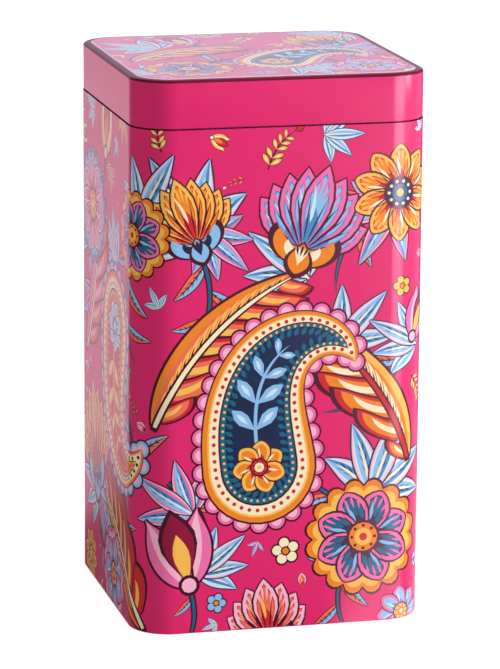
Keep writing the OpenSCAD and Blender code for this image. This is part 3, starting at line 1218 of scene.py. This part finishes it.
under_ring = lid.sweep(panel_u, lid_section, lid_runs, panel_ring, None, 0.02)
centre = lid.add_points([(0, 0, LID_TOP - SHEET)])
under = np.stack([under_ring, np.roll(under_ring, -1), np.full(len(under_ring), centre)], 1)
under_plan = np.array(lid.points)[under] @ (1, 1j, 0)
lid.add_faces(under, NUMBER["tin"], facing(under, -1.0), beside(under_plan, 100+100j))
printed_lid = lid.piece("printed_lid")
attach(printed_lid, "outer_lid")
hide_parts("lid")

# %% [markdown]
# ## Bare metal pieces
# The neck, base and inner lid keep the shape that the frame gives them and only need their metal.

# %% Metal on the frame's pieces
for node, finish in (("neck_ring", NECK), ("base_panel", TINPLATE), ("inner_lid_pan", TINPLATE),
                     ("rivet_washer", DRAWN), ("knob_rivet", DRAWN), ("inner_lid_knob", TURNED)):
    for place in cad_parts[node].material_slots:
        place.material = finish

# %% [markdown]
# ## Floor, light and backdrop
# The tin stands on white. To the eye the floor and the backdrop are one plain white, but a varnished tin
# shows whatever stands round it, and that is what shapes its corners. Behind it is white card, which its
# side and its lid reflect at their low angle as a pale veil. The room at its left and in front is dim,
# so the left front corner turns dark all at once. A narrow bright window at the right front gives the
# upright glint on the right front corner. The floor and the world show reflections the same room.

# %% Room
WINDOW_AZIMUTH = math.radians(36)
DIM = 0.12
COOL_WHITE = (0.97, 0.97, 1.22, 1)
WARM_WHITE = (1.42, 0.95, 1.15, 1)


def room_light(nodes, direction, card, window, fade):
    """How bright a reflection finds the room in a direction, from its parts along x and y."""
    level = nodes.add("VectorMath", {0: direction, 1: (1, 1, 0)}, operation="MULTIPLY")
    unit = nodes.add("VectorMath", {0: level}, operation="NORMALIZE")
    to_window = (math.sin(WINDOW_AZIMUTH), -math.cos(WINDOW_AZIMUTH), 0)
    total = DIM
    for way, start, end, strength, faded in (
        ((0, 1, 0), 0.80, 0.93, card - DIM, 1.0),  # the white card behind
        (to_window, 0.94, 0.995, window, fade),  # the window
        (to_window, 0.90, 0.96, 0.2, fade),  # the glow round it
        ((1, 0, 0), 0.78, 0.90, 0.72, 1.0),  # a pale wall at the right
    ):
        along = nodes.add("VectorMath", {0: unit, 1: way}, "Value", operation="DOT_PRODUCT")
        part = nodes.add("MapRange", {"Value": along, "From Min": start, "From Max": end, "To Max": strength},
                         interpolation_type="SMOOTHSTEP")
        part = nodes.add("Math", {0: part, 1: faded}, operation="MULTIPLY")
        total = nodes.add("Math", {0: part, 1: total})
    return total


# %% Floor
FLOOR_GLOW = 0.76
FLOOR_REACH = 3.0


def floor_finish():
    """White to the eye, a little dimmer where the tin keeps the light away."""
    finish = bpy.data.materials.new("floor_white")
    nodes = Nodes(finish)
    nodes.nodes.remove(nodes.nodes["Principled BSDF"])
    matt = nodes.add("BsdfDiffuse", {"Color": (0.62, 0.62, 0.62, 1)})
    seen = nodes.add("LightPath", {}, "Is Camera Ray")
    seen = nodes.add("Math", {0: seen, 1: FLOOR_GLOW}, operation="MULTIPLY")
    plain = nodes.add("AddShader", {0: matt, 1: nodes.add("Emission", {"Strength": seen})})
    place = nodes.add("TexCoord", {}, "Object")
    reach = nodes.add("VectorMath", {0: place}, "Value", operation="LENGTH")
    near = nodes.add("MapRange", {"Value": reach, "From Min": 0.2, "From Max": 0.8, "To Min": 0.36})
    light = room_light(nodes, place, 0.74, 8.2, near)
    mirrored = nodes.add("Emission", {"Color": WARM_WHITE, "Strength": light})
    pick = {0: nodes.add("LightPath", {}, "Is Glossy Ray"), 1: plain, 2: mirrored}
    nodes.feed(nodes.nodes["Material Output"], {"Surface": nodes.add("MixShader", pick)})
    return finish


floor_mesh = bpy.data.meshes.new("floor")
floor_corners = [(x * FLOOR_REACH, y * FLOOR_REACH, 0) for x, y in ((-1, -1), (1, -1), (1, 1), (-1, 1))]
floor_mesh.from_pydata(floor_corners, [], [(0, 1, 2, 3)])
floor_mesh.materials.append(floor_finish())
floor = placed("floor", floor_mesh)
floor.location.z = -0.0001

# %% World
ROOM = 0.60


def studio_world():
    """White to the eye, the room for reflections, and a plain level for the light it gives."""
    world = bpy.data.worlds.new("studio")
    nodes = Nodes(world)
    glossy = nodes.add("LightPath", {}, "Is Glossy Ray")
    room = room_light(nodes, nodes.add("TexCoord", {}, "Generated"), 0.95, 4.5, 1.0)
    lit = nodes.add("Mix", {"Factor": glossy, "A": ROOM, "B": room}, "Result")
    camera_ray = nodes.add("LightPath", {}, "Is Camera Ray")
    clear_ray = nodes.add("LightPath", {}, "Is Transmission Ray")
    clear = nodes.add("Math", {0: camera_ray, 1: clear_ray}, operation="MAXIMUM")
    seen = nodes.add("Mix", {"Factor": clear, "A": lit, "B": 1.0}, "Result")
    tint = nodes.mixed(glossy, (1, 1, 1, 1), COOL_WHITE)
    nodes.feed(nodes.nodes["Background"], {"Strength": seen, "Color": tint})
    return world


bpy.context.scene.world = studio_world()

# %% Lamp
# A tall soft lamp looks at the tin from its right. Azimuth 0 is in front of the tin and 90 at its right.
LAMP_AZIMUTH = math.radians(62)
LAMP_RISE = math.radians(16)
LAMP_AWAY = 1.5
lamp = placed("window", bpy.data.lights.new("window", "AREA"))
lamp.data.shape = "RECTANGLE"
lamp.data.size = 0.5
lamp.data.size_y = 1.4
lamp.data.energy = 25
level = math.cos(LAMP_RISE)
way = Vector((math.sin(LAMP_AZIMUTH) * level, -math.cos(LAMP_AZIMUTH) * level, math.sin(LAMP_RISE)))
lamp.location = Vector((0, 0, 0.07)) + way * LAMP_AWAY
lamp.rotation_euler = way.to_track_quat("Z", "Y").to_euler()

# %% Colour view
bpy.context.scene.view_settings.view_transform = "Standard"
